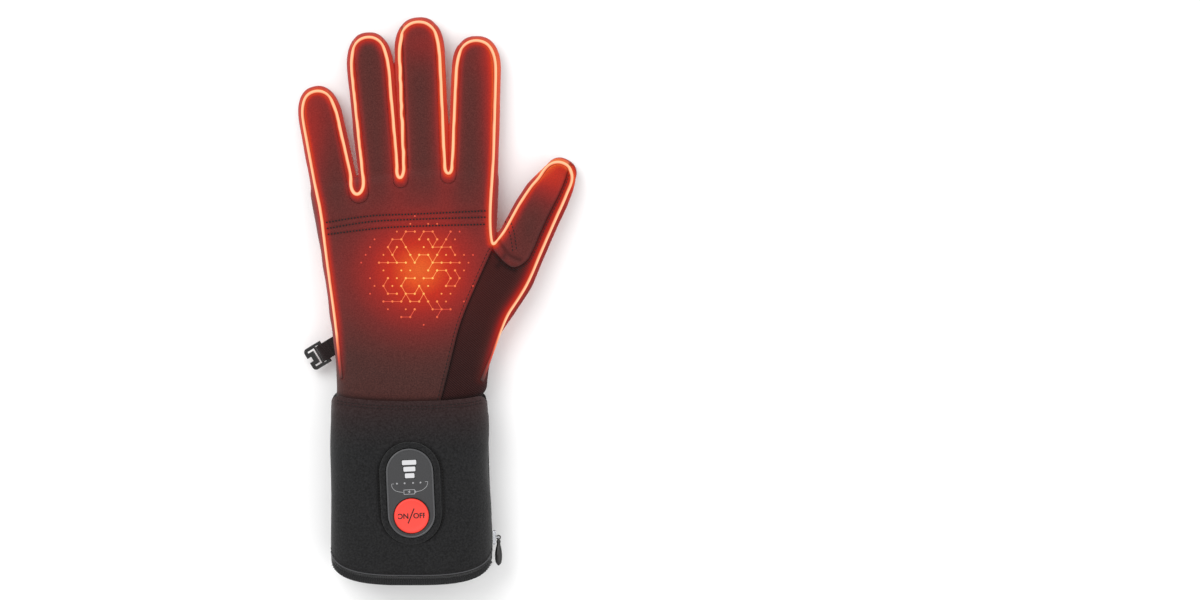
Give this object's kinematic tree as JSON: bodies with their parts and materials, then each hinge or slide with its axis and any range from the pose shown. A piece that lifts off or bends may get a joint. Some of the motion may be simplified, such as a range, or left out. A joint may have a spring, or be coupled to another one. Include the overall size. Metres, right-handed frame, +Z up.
{
  "type": "heated glove",
  "caption": "Left-hand heated glove with a long cuff, a controller with a push button, a hook-and-loop wrist strap, a zipped battery pocket and a clip.",
  "frame": {"origin": "middle of the underside's box, on the surface the glove lies on, palm down", "axes": "+Y along the fingers, +X towards the thumb, +Z up out of the back of the hand"},
  "size_m": [0.1524, 0.312, 0.0449],
  "materials": {
    "softshell": "matte",
    "grip_cloth": "matte",
    "twill": "matte",
    "neoprene": "matte",
    "binding": "matte",
    "touch_cloth": "matte",
    "casing": "satin",
    "button": "satin",
    "lamp": "gloss",
    "wire": "satin",
    "steel": "satin",
    "black_plastic": "satin",
    "webbing": "matte"
  },
  "bodies": {
    "glove": {"back_panel": "softshell", "palm_panel": "grip_cloth", "fourchette_little_ring": "softshell", "fourchette_ring_middle": "softshell", "fourchette_middle_index": "softshell", "thumb_back": "softshell", "thumb_palm": "grip_cloth", "twill_gusset": "twill", "index_touch_tip": "touch_cloth", "thumb_touch_tip": "touch_cloth", "cuff_back": "neoprene", "cuff_palm": "neoprene", "cuff_edge_strip": "twill", "cuff_hem": "binding", "slit_binding": "binding", "zip_coil": "binding", "strap_binding": "binding", "wrist_strap": "neoprene", "window_welt": "neoprene", "controller_plate": "casing", "heat_bar_1": "lamp", "heat_bar_2": "lamp", "heat_bar_3": "lamp", "heating_wire": "wire", "zip_slider": "steel", "webbing_loop": "webbing", "clip_hook": "black_plastic"},
    "button": {"power_button": "button"},
    "pull": {"zip_pull": "black_plastic"}
  },
  "joints": [
    {"name": "button_press", "type": "slide", "parent": "glove", "child": "button", "axis": [0, 0, -1], "range_m": [0, 0.0006], "stiffness_N_per_m": 500},
    {"name": "pull_swing", "type": "hinge", "parent": "glove", "child": "pull", "pos_m": [0.03378, -0.13038, 0.02316], "axis": [0, 0, 1], "range_deg": [0, 150]}
  ]
}
